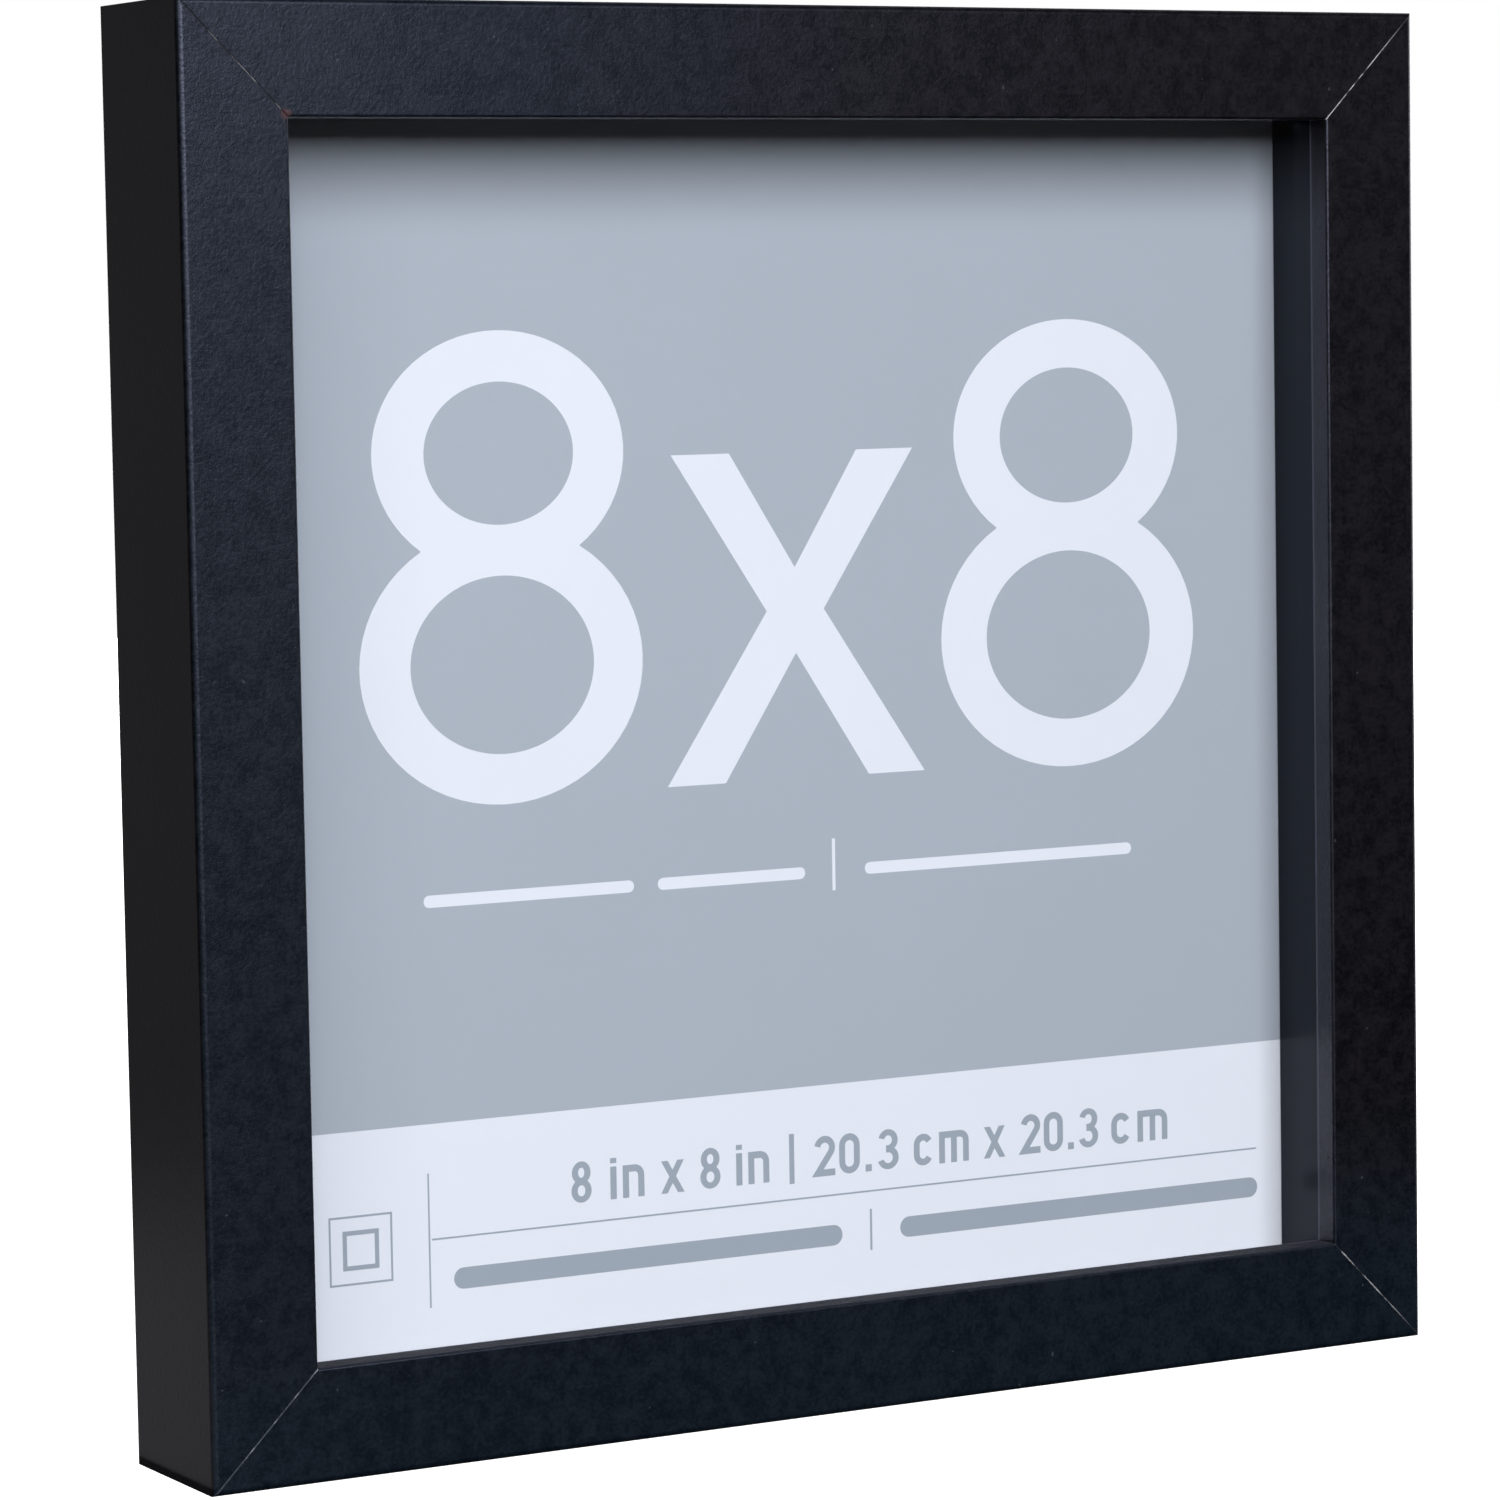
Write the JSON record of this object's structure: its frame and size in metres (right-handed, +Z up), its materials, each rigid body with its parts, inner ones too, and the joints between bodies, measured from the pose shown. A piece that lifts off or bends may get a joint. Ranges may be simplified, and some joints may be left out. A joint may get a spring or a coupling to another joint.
{
  "type": "shadow box display case",
  "caption": "Square black-framed shadow box with a glass front, a deep cavity and a lift-out back held by turn buttons; stands on a shelf or hangs on a wall.",
  "frame": {"origin": "middle of the whole box's footprint, on the plane that the bottom rail stands on", "axes": "+X to the right as seen from the front, +Y out of the back (the front faces -Y), +Z up"},
  "size_m": [0.2286, 0.0332, 0.2286],
  "materials": {
    "rail_foil": "satin",
    "spacer_wrap": "matte",
    "glass": "gloss",
    "insert_paper": "satin",
    "foam_board": "matte",
    "hardboard": "matte",
    "v_nail_steel": "satin",
    "button_steel": "satin",
    "screw_steel": "satin",
    "hanger_steel": "satin"
  },
  "bodies": {
    "case": {"bottom_rail": "rail_foil", "left_rail": "rail_foil", "top_rail": "rail_foil", "right_rail": "rail_foil", "corner_v_nails": "v_nail_steel", "glass_pane": "glass", "spacer_bottom": "spacer_wrap", "spacer_left": "spacer_wrap", "spacer_top": "spacer_wrap", "spacer_right": "spacer_wrap", "turn_button_screws": "screw_steel", "sawtooth_hanger": "hanger_steel", "hanger_nails": "hanger_steel"},
    "back": {"printed_insert": "insert_paper", "pin_board": "foam_board", "backing_board": "hardboard"},
    "left_lower_button": {"turn_button_left_lower": "button_steel"},
    "left_upper_button": {"turn_button_left_upper": "button_steel"},
    "right_lower_button": {"turn_button_right_lower": "button_steel"},
    "right_upper_button": {"turn_button_right_upper": "button_steel"}
  },
  "joints": [
    {"name": "back_lift_out", "type": "slide", "parent": "case", "child": "back", "axis": [0, 1, 0], "range_m": [0, 0.06]},
    {"name": "left_lower_button_turn", "type": "hinge", "parent": "case", "child": "left_lower_button", "pos_m": [-0.10845, 0.01405, 0.0593], "axis": [0, 1, 0], "continuous": true},
    {"name": "left_upper_button_turn", "type": "hinge", "parent": "case", "child": "left_upper_button", "pos_m": [-0.10845, 0.01405, 0.1693], "axis": [0, 1, 0], "continuous": true},
    {"name": "right_lower_button_turn", "type": "hinge", "parent": "case", "child": "right_lower_button", "pos_m": [0.10845, 0.01405, 0.0593], "axis": [0, 1, 0], "continuous": true},
    {"name": "right_upper_button_turn", "type": "hinge", "parent": "case", "child": "right_upper_button", "pos_m": [0.10845, 0.01405, 0.1693], "axis": [0, 1, 0], "continuous": true}
  ]
}
